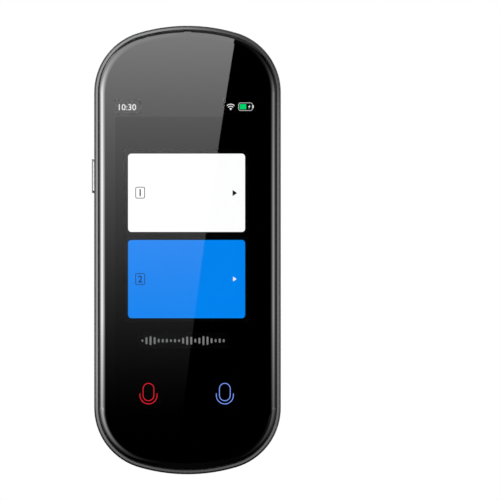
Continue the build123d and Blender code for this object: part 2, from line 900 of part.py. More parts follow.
# ---- USB-C socket on the bottom board ----
with BuildPart() as usb_shell:
    with BuildSketch(Plane.XY.offset(usb_mouth_z)):
        with Locations((0, usb_y)):
            SlotOverall(usb_width, usb_height)
    extrude(amount=usb_length)
    with BuildSketch(Plane.XY.offset(usb_mouth_z)):
        with Locations((0, usb_y)):
            SlotOverall(usb_width - 2 * usb_wall, usb_height - 2 * usb_wall)
    extrude(amount=usb_length - usb_wall, mode=Mode.SUBTRACT)
save(usb_shell, "usb_shell")

with BuildPart() as usb_tongue:
    with BuildSketch(Plane.XY.offset(usb_mouth_z + usb_length - usb_wall)):
        with Locations((0, usb_y)):
            Rectangle(usb_tongue_width, usb_tongue_thickness)
    extrude(amount=-usb_tongue_length)
    fillet(edges().filter_by(Axis.Y).group_by(Axis.Z)[0], usb_tongue_thickness / 2)
save(usb_tongue, "usb_tongue")

# ---- microphones, one at each end, each with a rubber boot against the frame's rail ----
mic_z = half_length - boot_start_inset + mic_length / 2
boot_z = half_length - (boot_start_inset + boot_end_inset) / 2

for end, place, board_y in ((1, "top", main_front_y), (-1, "bottom", sub_front_y)):
    with BuildPart() as microphone:
        with BuildSketch(facing(board_y - mic_height)):
            with Locations((0, end * mic_z)):
                Rectangle(mic_width, mic_length)
        extrude(amount=-mic_height)
    save(microphone, f"{place}_microphone")

    with BuildPart() as mic_boot:
        with BuildSketch(facing(plate_front_y)):
            with Locations((0, end * boot_z)):
                Rectangle(boot_width, boot_start_inset - boot_end_inset)
            with Locations((0, end * mic_z)):
                Circle(mic_port_radius, mode=Mode.SUBTRACT)
        extrude(amount=plate_front_y - board_y + mic_height)
    save(mic_boot, f"{place}_mic_boot")

# ---- power button: cap, flange and nub in one piece, sliding along X ----
with BuildPart() as power_button:
    with BuildSketch(Plane.YZ.offset(-half_width - button_proud)):
        with Locations((button_y, button_z)):
            SlotOverall(button_length, button_height, rotation=90)
    extrude(amount=button_proud + button_pad_inset)
    fillet(edges().group_by(Axis.X)[0], button_cap_round)
    with BuildSketch(Plane.YZ.offset(flange_x)):
        with Locations((button_y, button_z)):
            SlotOverall(2 * flange_half_length, 2 * flange_half_height, rotation=90)
    extrude(amount=flange_thickness)
    with BuildSketch(Plane.YZ.offset(flange_x + flange_thickness)):
        with Locations((button_y, button_z)):
            Circle(nub_radius)
    extrude(amount=nub_length)
save(power_button, "power_button")

with BuildPart() as dome_switch:
    with BuildSketch(Plane.YZ.offset(dome_x)):
        with Locations((button_y, button_z)):
            RectangleRounded(dome_height, dome_length, dome_corner)
    extrude(amount=dome_thickness)
save(dome_switch, "dome_switch")

with BuildPart() as button_board:
    with BuildSketch(Plane.YZ.offset(dome_x + dome_thickness)):
        with Locations((button_y, button_z)):
            Rectangle(button_board_height, button_board_length)
    extrude(amount=button_board_thickness)
save(button_board, "button_board")


# ---- screws ----
def add_screws(spots, head_y, reach):
    """Cap screws whose heads sit on the face at head_y, with shanks that reach towards the front."""
    with BuildPart() as screws:
        with BuildSketch(facing(head_y)):
            with Locations(*spots):
                Circle(screw_radius)
        extrude(amount=reach)
        with BuildSketch(facing(head_y)):
            with Locations(*spots):
                Circle(screw_head_radius)
        extrude(amount=-screw_head_height)
    return screws


save(add_screws(boss_spots, plate_back_y, plate_thickness + frame_boss_height), "plate_screws")
save(add_screws(main_screws, main_back_y, main_board_thickness + main_board_gap), "main_board_screws")
save(add_screws(sub_screws, sub_back_y, sub_board_thickness + sub_board_gap), "sub_board_screws")
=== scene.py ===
import json
import math

import bmesh
import bpy
from mathutils import Matrix, Quaternion, Vector


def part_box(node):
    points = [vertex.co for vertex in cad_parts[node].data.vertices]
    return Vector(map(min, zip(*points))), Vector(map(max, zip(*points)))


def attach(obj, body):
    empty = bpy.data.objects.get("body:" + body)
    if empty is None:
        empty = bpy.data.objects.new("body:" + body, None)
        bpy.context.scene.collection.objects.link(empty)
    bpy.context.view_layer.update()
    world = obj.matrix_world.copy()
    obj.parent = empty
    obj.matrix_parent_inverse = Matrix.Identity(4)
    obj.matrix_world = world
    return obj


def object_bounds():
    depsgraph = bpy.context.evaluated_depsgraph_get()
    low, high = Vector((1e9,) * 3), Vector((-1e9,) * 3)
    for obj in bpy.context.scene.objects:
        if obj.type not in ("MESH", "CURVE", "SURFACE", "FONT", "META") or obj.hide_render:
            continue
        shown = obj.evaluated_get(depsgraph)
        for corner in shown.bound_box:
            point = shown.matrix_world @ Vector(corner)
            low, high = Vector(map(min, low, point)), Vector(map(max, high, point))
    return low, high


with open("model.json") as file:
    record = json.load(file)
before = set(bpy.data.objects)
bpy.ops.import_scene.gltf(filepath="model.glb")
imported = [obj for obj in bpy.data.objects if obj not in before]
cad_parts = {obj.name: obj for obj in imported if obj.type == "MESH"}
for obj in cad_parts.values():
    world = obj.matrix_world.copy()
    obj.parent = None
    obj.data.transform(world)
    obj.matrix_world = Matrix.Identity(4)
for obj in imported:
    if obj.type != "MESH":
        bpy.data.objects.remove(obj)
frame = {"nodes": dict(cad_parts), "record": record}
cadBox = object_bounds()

mm = 0.001

# outlines lie in the plane of the screen: x to the right, z up, in millimetres

body = {
    "halfWidth": 28.0,
    "halfLength": 67.3,
    "cornerRadius": 18.65,
    "crownRadius": 51.4,
}


def arcPoints(centreX, centreZ, radius, start, end, steps):
    angles = [math.radians(start + (end - start) * i / steps) for i in range(steps + 1)]
    return [(centreX + radius * math.cos(a), centreZ + radius * math.sin(a)) for a in angles]


def cornerCentre():
    x = body["halfWidth"] - body["cornerRadius"]
    reach = body["crownRadius"] - body["cornerRadius"]
    return x, body["halfLength"] - body["crownRadius"] + math.sqrt(reach**2 - x**2)


def bodyOutline(inset, steps=20):
    cornerX, cornerZ = cornerCentre()
    crownZ = body["halfLength"] - body["crownRadius"]
    join = math.degrees(math.atan2(cornerZ - crownZ, cornerX))
    corner = body["cornerRadius"] - inset
    crown = body["crownRadius"] - inset
    top = arcPoints(cornerX, cornerZ, corner, 0, join, steps)
    top += arcPoints(0, crownZ, crown, join, 180 - join, 2 * steps)[1:]
    top += arcPoints(-cornerX, cornerZ, corner, 180 - join, 180, steps)[1:]
    return top + [(-x, -z) for x, z in top]


def roundedBox(centreX, centreZ, width, height, radius, steps=6):
    ring = []
    quarters = ((1, 1, 0), (-1, 1, 90), (-1, -1, 180), (1, -1, 270))
    for sideX, sideZ, start in quarters:
        x = centreX + sideX * (width / 2 - radius)
        z = centreZ + sideZ * (height / 2 - radius)
        ring += arcPoints(x, z, radius, start, start + 90, steps)
    return ring


def circleRing(centreX, centreZ, radius, steps=64):
    return arcPoints(centreX, centreZ, radius, 0, 360, steps)[:-1]


def strokeRings(path, width, closed=False, capSteps=8):
    # the two edges of a drawn line: one ring with round ends, or two rings for a closed line
    count = len(path)
    left, right = [], []
    for i, (x, z) in enumerate(path):
        before = path[i - 1] if closed or i > 0 else path[i]
        after = path[(i + 1) % count] if closed or i < count - 1 else path[i]
        along = Vector((after[0] - before[0], after[1] - before[1])).normalized()
        left.append((x - along.y * width / 2, z + along.x * width / 2))
        right.append((x + along.y * width / 2, z - along.x * width / 2))
    if closed:
        return [left, right]
    caps = []
    for here, inner in ((path[-1], path[-2]), (path[0], path[1])):
        turn = math.degrees(math.atan2(here[1] - inner[1], here[0] - inner[0]))
        caps.append(arcPoints(here[0], here[1], width / 2, turn + 90, turn - 90, capSteps)[1:-1])
    return [left + caps[0] + right[::-1] + caps[1]]


def addToScene(name, data):
    holder = bpy.data.objects.new(name, data)
    bpy.context.scene.collection.objects.link(holder)
    return holder


def keepPiece(name, mesh, material, smooth=True):
    piece = addToScene(name, mesh)
    mesh.materials.clear()
    mesh.materials.append(material)
    if smooth:
        mesh.shade_smooth()
    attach(piece, "housing")


def drawnMesh(name, curve, middleY, middle=None):
    # what a flat curve draws, filled, stood upright and, if a middle is given, centred there
    holder = addToScene(name + "Outline", curve)
    shown = holder.evaluated_get(bpy.context.evaluated_depsgraph_get())
    mesh = bpy.data.meshes.new_from_object(shown)
    bpy.data.objects.remove(holder)
    bpy.data.curves.remove(curve)
    mesh.name = name
    shift = Vector((0, 0, 0))
    if middle:
        for axis in (0, 1):
            places = [vertex.co[axis] for vertex in mesh.vertices]
            shift[axis] = middle[axis] * mm - (min(places) + max(places)) / 2
    work = bmesh.new()
    work.from_mesh(mesh)
    for vertex in work.verts:
        x, z, depth = vertex.co + shift
        vertex.co = (x, middleY * mm - depth, z)
    bmesh.ops.remove_doubles(work, verts=work.verts, dist=1e-7)
    bmesh.ops.recalc_face_normals(work, faces=work.faces)
    work.to_mesh(mesh)
    work.free()
    return mesh


def stamped(name, rings, frontY, backY, material):
    # flat shape with holes, cut from a sheet that lies across the depth from frontY to backY
    curve = bpy.data.curves.new(name + "Outline", "CURVE")
    curve.dimensions = "2D"
    curve.fill_mode = "BOTH"
    curve.extrude = abs(backY - frontY) / 2 * mm
    for ring in rings:
        spline = curve.splines.new("POLY")
        spline.points.add(len(ring) - 1)
        for point, (x, z) in zip(spline.points, ring):
            point.co = (x * mm, z * mm, 0, 1)
        spline.use_cyclic_u = True
    mesh = drawnMesh(name, curve, (frontY + backY) / 2)
    keepPiece(name, mesh, material, smooth=False)


def turned(name, profile, centre, material, steps=96):
    # profile of (radius, depth y) points, turned about an axis that runs front to back
    work = bmesh.new()
    rows = []
    for radius, depth in profile:
        ring = circleRing(*centre, radius, steps)
        rows.append([work.verts.new((x * mm, depth * mm, z * mm)) for x, z in ring])
    for low, high in zip(rows, rows[1:]):
        for i in range(steps):
            work.faces.new([low[i - 1], low[i], high[i], high[i - 1]])
    bmesh.ops.recalc_face_normals(work, faces=work.faces)
    mesh = bpy.data.meshes.new(name)
    work.to_mesh(mesh)
    work.free()
    keepPiece(name, mesh, material)


print("shapes ready")


def grey(level, warmth=0.0):
    return (level * (1 + warmth), level, level * (1 - warmth), 1)


def tint(red, green, blue):
    return (red, green, blue, 1)


def addNode(tree, kind, inputs=None, **settings):
    # each input is a plain value or the socket that feeds it
    node = tree.nodes.new(kind)
    for key, value in settings.items():
        setattr(node, key, value)
    for key, value in (inputs or {}).items():
        if isinstance(value, bpy.types.NodeSocket):
            tree.links.new(value, node.inputs[key])
        else:
            node.inputs[key].default_value = value
    return node


def mathNode(tree, operation, *values, clamp=False):
    inputs = dict(enumerate(values))
    return addNode(tree, "ShaderNodeMath", inputs, operation=operation, use_clamp=clamp).outputs[0]


def product(tree, first, *others):
    for value in others:
        first = mathNode(tree, "MULTIPLY", first, value)
    return first


def vectorNode(tree, operation, *values):
    return addNode(tree, "ShaderNodeVectorMath", dict(enumerate(values)), operation=operation).outputs


def rampNode(tree, value, low, high, lowResult=0.0, highResult=1.0, smooth=False):
    node = addNode(
        tree,
        "ShaderNodeMapRange",
        {"Value": value, "From Min": low, "From Max": high, "To Min": lowResult, "To Max": highResult},
        interpolation_type="SMOOTHSTEP" if smooth else "LINEAR",
    )
    return node.outputs["Result"]


def mixColors(tree, share, first, second):
    node = addNode(tree, "ShaderNodeMix", {"Factor": share, "A": first, "B": second}, data_type="RGBA")
    return node.outputs["Result"]


def objectPlace(tree):
    return addNode(tree, "ShaderNodeTexCoord").outputs["Object"]


def axesOf(tree, vector):
    return addNode(tree, "ShaderNodeSeparateXYZ", {0: vector}).outputs


def scenePlace(tree):
    return addNode(tree, "ShaderNodeNewGeometry").outputs["Position"]


def findNode(tree, kind):
    return next(node for node in tree.nodes if node.type == kind)


def startGroup(name, inputs):
    group = bpy.data.node_groups.new(name, "ShaderNodeTree")
    for label, value in inputs.items():
        kind = "NodeSocketFloat" if isinstance(value, float) else "NodeSocketColor"
        socket = group.interface.new_socket(name=label, in_out="INPUT", socket_type=kind)
        socket.default_value = value
    return group, addNode(group, "NodeGroupInput").outputs


def endGroup(group, results):
    for label in results:
        kind = "NodeSocketColor" if label == "Color" else "NodeSocketFloat"
        group.interface.new_socket(name=label, in_out="OUTPUT", socket_type=kind)
    addNode(group, "NodeGroupOutput", results)
    return group


def makeGrainGroup():
    # fine speckle over a slow cloud: blasted metal, moulded plastic, foam
    inputs = {
        "Color": grey(0.5),
        "Second Color": grey(0.4),
        "Grain Scale": 4000.0,
        "Cloud Scale": 60.0,
        "Low Roughness": 0.3,
        "High Roughness": 0.4,
    }
    group, enter = startGroup("surfaceGrain", inputs)
    place = objectPlace(group)
    speckle = {"Vector": place, "Scale": enter["Grain Scale"], "Detail": 3.0, "Roughness": 0.6}
    grain = addNode(group, "ShaderNodeTexNoise", speckle).outputs["Fac"]
    slow = {"Vector": place, "Scale": enter["Cloud Scale"], "Detail": 2.0}
    cloud = addNode(group, "ShaderNodeTexNoise", slow).outputs["Fac"]
    grainShare = 0.6
    mask = mathNode(group, "MULTIPLY_ADD", grain, grainShare, product(group, cloud, 1 - grainShare))
    results = {
        "Color": mixColors(group, mask, enter["Color"], enter["Second Color"]),
        "Roughness": rampNode(group, mask, 0.0, 1.0, enter["Low Roughness"], enter["High Roughness"]),
        "Height": grain,
    }
    return endGroup(group, results)


def makeStreakGroup():
    # long scratches along one direction: rolled, drawn and brushed metal
    inputs = {
        "Color": grey(0.6),
        "Second Color": grey(0.5),
        "Across X": 3000.0,
        "Across Y": 3000.0,
        "Across Z": 60.0,
        "Low Roughness": 0.2,
        "High Roughness": 0.35,
    }
    group, enter = startGroup("brushStreaks", inputs)
    across = {axis: enter["Across " + axis] for axis in "XYZ"}
    size = addNode(group, "ShaderNodeCombineXYZ", across).outputs[0]
    stretched = vectorNode(group, "MULTIPLY", objectPlace(group), size)[0]
    scratches = {"Vector": stretched, "Scale": 1.0, "Detail": 4.0, "Roughness": 0.7}
    streak = addNode(group, "ShaderNodeTexNoise", scratches).outputs["Fac"]
    results = {
        "Color": mixColors(group, streak, enter["Color"], enter["Second Color"]),
        "Roughness": rampNode(group, streak, 0.0, 1.0, enter["Low Roughness"], enter["High Roughness"]),
        "Height": streak,
    }
    return endGroup(group, results)


def makeWeaveGroup():
    # plain weave across x and z, as in the speaker's dust cloth
    inputs = {"Color": grey(0.02), "Second Color": grey(0.05), "Thread Pitch": 0.00018}
    group, enter = startGroup("clothWeave", inputs)
    place = axesOf(group, objectPlace(group))
    turns = [mathNode(group, "DIVIDE", place[axis], enter["Thread Pitch"]) for axis in "XZ"]
    cross = product(group, *[mathNode(group, "SINE", turn) for turn in turns])
    lift = rampNode(group, cross, -1.0, 1.0)
    color = mixColors(group, lift, enter["Color"], enter["Second Color"])
    return endGroup(group, {"Color": color, "Height": lift})


def makeTraceGroup():
    # copper tracks under solder mask: cells of a board's layout
    inputs = {"Mask Color": tint(0.01, 0.12, 0.05), "Track Color": tint(0.03, 0.24, 0.1), "Cell Scale": 420.0}
    group, enter = startGroup("boardTraces", inputs)
    layout = {"Vector": objectPlace(group), "Scale": enter["Cell Scale"], "Randomness": 0.8}
    cells = addNode(group, "ShaderNodeTexVoronoi", layout, distance="MANHATTAN")
    trackEdge = (0.28, 0.32)  # between these distances from the middle of a cell the track ends
    maskRough, trackRough = 0.3, 0.45
    step = rampNode(group, cells.outputs["Distance"], *trackEdge)
    results = {
        "Color": mixColors(group, step, enter["Mask Color"], enter["Track Color"]),
        "Roughness": rampNode(group, step, 0.0, 1.0, maskRough, trackRough),
        "Height": step,
    }
    return endGroup(group, results)


def makeRingGroup():
    # turned rings about an axis along y: lens mounts and coated lenses
    inputs = {
        "Inner Color": tint(0.3, 0.25, 0.7),
        "Outer Color": tint(0.02, 0.02, 0.05),
        "Centre X": 0.0,
        "Centre Z": 0.0,
        "Reach": 0.003,
        "Ring Pitch": 0.0001,
    }
    group, enter = startGroup("turnedRings", inputs)
    middle = {"X": enter["Centre X"], "Z": enter["Centre Z"]}
    centre = addNode(group, "ShaderNodeCombineXYZ", middle).outputs[0]
    offset = vectorNode(group, "SUBTRACT", objectPlace(group), centre)[0]
    flat = vectorNode(group, "MULTIPLY", offset, (1, 0, 1))[0]
    length = vectorNode(group, "LENGTH", flat)["Value"]
    share = mathNode(group, "DIVIDE", length, enter["Reach"], clamp=True)
    wave = mathNode(group, "SINE", mathNode(group, "DIVIDE", length, enter["Ring Pitch"]))
    grooveRough, ridgeRough = 0.16, 0.3
    results = {
        "Color": mixColors(group, share, enter["Inner Color"], enter["Outer Color"]),
        "Roughness": rampNode(group, wave, -1.0, 1.0, grooveRough, ridgeRough),
        "Height": wave,
    }
    return endGroup(group, results)


def makeGlowGroup():
    # light of a lit display: a slow unevenness and the faint grid of its pixels
    inputs = {"Color": grey(1.0), "Dim Color": grey(0.9), "Pixel Pitch": 0.00012}
    group, enter = startGroup("displayGlow", inputs)
    place = objectPlace(group)
    uneven = {"Vector": place, "Scale": 45.0, "Detail": 1.0}
    cloud = addNode(group, "ShaderNodeTexNoise", uneven).outputs["Fac"]
    turns = mathNode(group, "DIVIDE", axesOf(group, place)["Z"], enter["Pixel Pitch"])
    gridDepth = 0.1
    grid = product(group, mathNode(group, "SINE", turns), gridDepth)
    mask = mathNode(group, "ADD", cloud, grid, clamp=True)
    return endGroup(group, {"Color": mixColors(group, mask, enter["Color"], enter["Dim Color"])})


grainGroup = makeGrainGroup()
streakGroup = makeStreakGroup()
weaveGroup = makeWeaveGroup()
traceGroup = makeTraceGroup()
ringGroup = makeRingGroup()
glowGroup = makeGlowGroup()

print("shader groups ready")


def emptyMaterial(name):
    material = bpy.data.materials.new(name)
    material.use_nodes = True
    material.node_tree.nodes.clear()
    return material, material.node_tree


def newMaterial(name, group, groupValues, shaderValues, bump=0.0, relief=0.02, colorInput="Base Color"):
    # relief is the height of the bumps in millimetres
    material, tree = emptyMaterial(name)
    effect = addNode(tree, "ShaderNodeGroup", groupValues, node_tree=group).outputs
    inputs = {colorInput: effect["Color"]}
    if "Roughness" in effect:
        inputs["Roughness"] = effect["Roughness"]
    inputs.update(shaderValues)
    if bump:
        bumps = {"Strength": bump, "Distance": relief * mm, "Height": effect["Height"]}
        inputs["Normal"] = addNode(tree, "ShaderNodeBump", bumps).outputs["Normal"]
    shader = addNode(tree, "ShaderNodeBsdfPrincipled", inputs)
    addNode(tree, "ShaderNodeOutputMaterial", {"Surface": shader.outputs["BSDF"]})
    return material


def grained(name, color, second, rough, metallic=0.0, scale=4000.0, bump=0.1, specular=0.5):
    groupValues = {
        "Color": color,
        "Second Color": second,
        "Grain Scale": scale,
        "Low Roughness": rough[0],
        "High Roughness": rough[1],
    }
    shaderValues = {"Metallic": metallic, "Specular IOR Level": specular}
    return newMaterial(name, grainGroup, groupValues, shaderValues, bump)


def brushed(name, color, second, rough, across, bump=0.1):
    groupValues = {
        "Color": color,
        "Second Color": second,
        "Across X": across[0],
        "Across Y": across[1],
        "Across Z": across[2],
        "Low Roughness": rough[0],
        "High Roughness": rough[1],
    }
    return newMaterial(name, streakGroup, groupValues, {"Metallic": 1.0}, bump)


def lit(name, color, dim, strength):
    shaderValues = {"Base Color": grey(0.002), "Specular IOR Level": 0.0, "Emission Strength": strength}
    groupValues = {"Color": color, "Dim Color": dim}
    return newMaterial(name, glowGroup, groupValues, shaderValues, colorInput="Emission Color")


def clearGlass(name, tintColor, edgeTint):
    groupValues = {
        "Color": tintColor,
        "Second Color": edgeTint,
        "Grain Scale": 300.0,
        "Cloud Scale": 40.0,
        "Low Roughness": 0.0,
        "High Roughness": 0.01,
    }
    shaderValues = {"Transmission Weight": 1.0, "IOR": 1.5, "Metallic": 0.0}
    return newMaterial(name, grainGroup, groupValues, shaderValues)


cameraCentre = (-1.2, 54.6)


def ringed(name, inner, outer, reach, pitch, shaderValues, bump, relief=0.02):
    # rings about the axis of the camera, with their reach and pitch in millimetres
    groupValues = {
        "Inner Color": inner,
        "Outer Color": outer,
        "Centre X": cameraCentre[0] * mm,
        "Centre Z": cameraCentre[1] * mm,
        "Reach": reach * mm,
        "Ring Pitch": pitch * mm,
    }
    return newMaterial(name, ringGroup, groupValues, shaderValues, bump, relief)


lensTints = (tint(0.32, 0.3, 0.5), tint(0.25, 0.22, 0.55))
lensShine = {
    "Metallic": 1.0,
    "Roughness": 0.24,
    "Anisotropic": 1.0,
    "Anisotropic Rotation": 0.25,
    "Coat Weight": 1.0,
    "Coat Roughness": 0.02,
}
chromeAcross = (200.0, 2500.0, 200.0)
connectorGreys = (grey(0.05), grey(0.03))
trimGreys = (grey(0.02), grey(0.014))
foilGreys = (grey(0.62), grey(0.5))
coverGreys = (grey(0.235, -0.01), grey(0.2, -0.01))
frameGreys = (grey(0.27, -0.01), grey(0.23, -0.01))
goldTints = (tint(0.85, 0.6, 0.22), tint(0.7, 0.47, 0.16))
redTints = (tint(0.5, 0.03, 0.03), tint(0.3, 0.02, 0.02))
amberTints = (tint(0.5, 0.22, 0.05), tint(0.35, 0.14, 0.03))

finishes = {
    # grained and brushed take a name, two colours and the range of roughness,
    # and brushed the scales of its streaks along x, y and z
    "cover_glass": clearGlass("coverGlass", tint(0.98, 0.985, 0.985), tint(0.95, 0.96, 0.96)),
    "window_glass": clearGlass("windowGlass", tint(0.97, 0.97, 0.98), tint(0.94, 0.95, 0.96)),
    "sensor_film": clearGlass("sensorFilm", tint(0.93, 0.95, 0.95), tint(0.88, 0.91, 0.91)),
    "frame_metal": grained("satinFrame", *frameGreys, (0.16, 0.22), metallic=1.0, scale=9000.0, bump=0.03),
    "cover_metal": grained("blastedCover", *coverGreys, (0.18, 0.23), metallic=1.0, scale=7000.0, bump=0.03),
    "trim_metal": grained("darkTrim", *trimGreys, (0.2, 0.3), metallic=1.0, scale=6000.0, bump=0.05),
    "battery_foil": grained("batteryFoil", *foilGreys, (0.3, 0.5), metallic=1.0, scale=900.0, bump=0.3),
    "button_chrome": brushed("buttonChrome", grey(0.82), grey(0.74), (0.12, 0.2), chromeAcross, bump=0.04),
    "usb_steel": brushed("drawnSteel", grey(0.6), grey(0.45), (0.2, 0.35), (3500.0, 3500.0, 120.0)),
    "shield_steel": brushed("rolledSteel", grey(0.62), grey(0.52), (0.25, 0.4), (2500.0, 2500.0, 90.0)),
    "screw_steel": brushed("screwSteel", grey(0.32), grey(0.22), (0.25, 0.4), (2500.0, 300.0, 2500.0)),
    "plate_metal": brushed("rolledAluminium", grey(0.6), grey(0.5), (0.3, 0.45), (1800.0, 1800.0, 60.0)),
    "contact_gold": brushed("contactGold", *goldTints, (0.2, 0.3), (900.0, 900.0, 90.0)),
    "barrel_plastic": grained("barrelPlastic", grey(0.02), grey(0.012), (0.45, 0.6), scale=5000.0),
    "black_plastic": grained("blackPlastic", grey(0.03), grey(0.018), (0.5, 0.65), scale=5000.0, bump=0.2),
    "connector_plastic": grained("connectorPlastic", *connectorGreys, (0.4, 0.55), scale=5000.0, bump=0.2),
    "foam": grained("closedFoam", grey(0.035), grey(0.015), (0.8, 0.95), scale=2500.0, bump=0.6),
    "tape": grained("blackTape", grey(0.02), grey(0.012), (0.6, 0.75), scale=2000.0, bump=0.2),
    "lead_rubber": grained("leadRubber", *redTints, (0.4, 0.55), scale=1500.0),
    "flex_film": grained("amberFilm", *amberTints, (0.25, 0.4), scale=1200.0),
    "light_plastic": grained("lightGuide", grey(0.86, 0.01), grey(0.78, 0.01), (0.3, 0.45), scale=2500.0),
    "antenna_ceramic": grained("antennaCeramic", grey(0.8), grey(0.7), (0.5, 0.7), scale=3500.0),
    "panel_glass": grained("darkPanel", grey(0.012), grey(0.008), (0.1, 0.16), scale=900.0),
    "board_green": newMaterial("boardGreen", traceGroup, {"Cell Scale": 420.0}, {"Metallic": 0.0}, bump=0.3),
    "mesh_cloth": newMaterial(
        "dustCloth",
        weaveGroup,
        {"Color": grey(0.004), "Second Color": grey(0.02), "Thread Pitch": 0.03 * mm},
        {"Roughness": 0.85},
        bump=0.6,
    ),
    "lens_glass": ringed("coatedLens", *lensTints, 2.4, 0.06, lensShine, bump=0.1, relief=0.03),
}


def turnGrain(material):
    # lets the highlights fan out across rings turned about the y axis
    tree = material.node_tree
    tangent = addNode(tree, "ShaderNodeTangent", direction_type="RADIAL", axis="Y")
    tree.links.new(tangent.outputs["Tangent"], findNode(tree, "BSDF_PRINCIPLED").inputs["Tangent"])


turnGrain(finishes["lens_glass"])

openings = {
    # clear fields in the black print of the cover glass: middle x, middle z, width, height
    "clock": (-18.0, 42.9, 7.6, 4.0),
    "icons": (16.15, 43.0, 10.1, 4.6),
    "upper": (-0.3, 17.15, 37.2, 25.6),
    "lower": (-0.3, -8.7, 37.2, 25.6),
    "voice": (-1.3, -27.2, 27.2, 4.8),
    "redKey": (-11.7, -43.1, 7.6, 9.2),
    "blueKey": (11.2, -43.1, 7.6, 9.2),
}
softEdge = 0.35  # half the width over which the print fades out round an opening


def makePrintGroup():
    # black print on glass that leaves the fields of the openings clear
    group, enter = startGroup("glassPrint", {"Clear Color": grey(1.0), "Print Color": grey(0.0)})
    place = axesOf(group, objectPlace(group))
    clear = 0.0
    for middleX, middleZ, width, height in openings.values():
        sides = []
        for axis, middle, size in (("X", middleX, width), ("Z", middleZ, height)):
            off = mathNode(group, "ABSOLUTE", mathNode(group, "SUBTRACT", place[axis], middle * mm))
            low, high = (size / 2 - softEdge) * mm, (size / 2 + softEdge) * mm
            sides.append(rampNode(group, off, low, high, 1.0, 0.0, smooth=True))
        clear = mathNode(group, "MAXIMUM", clear, product(group, *sides))
    return endGroup(group, {"Color": mixColors(group, clear, enter["Print Color"], enter["Clear Color"])})


def printGlass(material):
    tree = material.node_tree
    colorSocket = findNode(tree, "BSDF_PRINCIPLED").inputs["Base Color"]
    clear = colorSocket.links[0].from_socket
    ink = addNode(tree, "ShaderNodeGroup", {"Clear Color": clear}, node_tree=makePrintGroup())
    tree.links.new(ink.outputs["Color"], colorSocket)


printGlass(finishes["cover_glass"])

for part in frame["record"]["subparts"]:
    node = frame["nodes"][part["node"]]
    for holder in node.material_slots:
        holder.material = finishes[part["material_slot"]]

print("finishes on", len(frame["nodes"]), "nodes")

layers = {
    # front faces of the prints that are stacked under the cover glass
    "mask": -5.62,
    "field": -5.63,
    "card": -5.645,
    "mark": -5.66,
}
sheet = 0.012  # thickness of each print

printInk = grained("printInk", grey(0.0006), grey(0.0003), (0.0, 0.02), bump=0.0, specular=0.0)
darkField = lit("darkField", grey(0.0006), grey(0.0003), 0.3)
whiteGlow = lit("whiteGlow", grey(1.0), grey(0.97), 1.06)
blueGlow = lit("blueGlow", tint(0.0, 0.232, 0.88), tint(0.0, 0.218, 0.83), 1.06)
greyGlow = lit("greyGlow", grey(0.22), grey(0.18), 1.0)
paleGlow = lit("paleGlow", grey(0.5), grey(0.42), 1.0)
softWhite = lit("softWhite", grey(0.95), grey(0.85), 1.0)
inkMark = lit("inkMark", grey(0.012), grey(0.008), 0.5)
blueMark = lit("blueMark", tint(0.005, 0.05, 0.22), tint(0.004, 0.04, 0.18), 1.0)
greenGlow = lit("greenGlow", tint(0.0, 0.68, 0.16), tint(0.0, 0.6, 0.13), 1.05)
redKeyGlow = lit("redKeyGlow", tint(0.72, 0.015, 0.03), tint(0.6, 0.01, 0.02), 1.1)
blueKeyGlow = lit("blueKeyGlow", tint(0.2, 0.34, 0.95), tint(0.16, 0.28, 0.85), 1.1)


def layered(name, rings, layer, material):
    frontY = layers[layer]
    stamped(name, rings, frontY, frontY + sheet, material)


gap = {"outer": 1.12, "inner": 1.36, "front": -5.8, "back": -5.45}


def gapBead():
    rings = [bodyOutline(gap["outer"]), bodyOutline(gap["inner"])]
    stamped("gap_bead", rings, gap["front"], gap["back"], finishes["black_plastic"])


gapBead()

mask = {
    "inset": 1.4,
    "windowWidth": 45.2,
    "windowTop": 45.9,
    "windowBottom": -29.7,
    "windowCorner": 0.6,
    "barHeight": 5.9,  # the bar of signs along the top of the display
}


def maskField(bottom):
    # field of the display from its upper edge down to the bottom given
    top = mask["windowTop"]
    return roundedBox(0, (top + bottom) / 2, mask["windowWidth"], top - bottom, mask["windowCorner"])


windowRing = maskField(mask["windowBottom"])
layered("glass_mask", [bodyOutline(mask["inset"]), windowRing], "mask", printInk)
layered("display_field", [windowRing], "mask", darkField)
layered("status_bar", [maskField(mask["windowTop"] - mask["barHeight"])], "field", printInk)


def digits(name, text, middle, size, weight, material):
    letters = bpy.data.curves.new(name + "Text", "FONT")
    letters.body = text
    letters.size = size * mm
    letters.offset = weight * mm
    letters.extrude = sheet / 2 * mm
    letters.resolution_u = 4
    mesh = drawnMesh(name, letters, layers["mark"] + sheet / 2, middle)
    keepPiece(name, mesh, material, smooth=False)


clock = {"middle": (-18.0, 42.85), "size": 2.6, "weight": 0.01}

digits("clock_digits", "10:30", clock["middle"], clock["size"], clock["weight"], softWhite)

signal = {
    "x": 12.96,
    "footZ": 41.94,
    "radii": (1.18, 1.8),
    "stroke": 0.23,
    "spread": 37,  # degrees to each side of upright
    "fan": 0.66,
}


def signalMark():
    x, z = signal["x"], signal["footZ"]
    low, high = 90 - signal["spread"], 90 + signal["spread"]
    rings = [[(x, z)] + arcPoints(x, z, signal["fan"], low, high, steps=8)]
    for radius in signal["radii"]:
        rings += strokeRings(arcPoints(x, z, radius, low, high, steps=14), signal["stroke"])
    layered("signal_mark", rings, "mark", softWhite)


signalMark()

charge = {
    "middle": (17.4, 43.0),
    "size": (4.34, 2.5, 0.66),  # width, height and corner radius, as for the tip and the level
    "stroke": 0.2,
    "tip": (0.26, 0.95, 0.1),
    "levelX": 16.64,
    "level": (1.95, 1.55, 0.15),
    "boltX": 18.5,
    "boltSize": 0.8,
    "bolt": [(0.35, 0.8), (-0.4, -0.15), (0.0, -0.15), (-0.2, -0.8), (0.5, 0.2), (0.1, 0.2)],
}


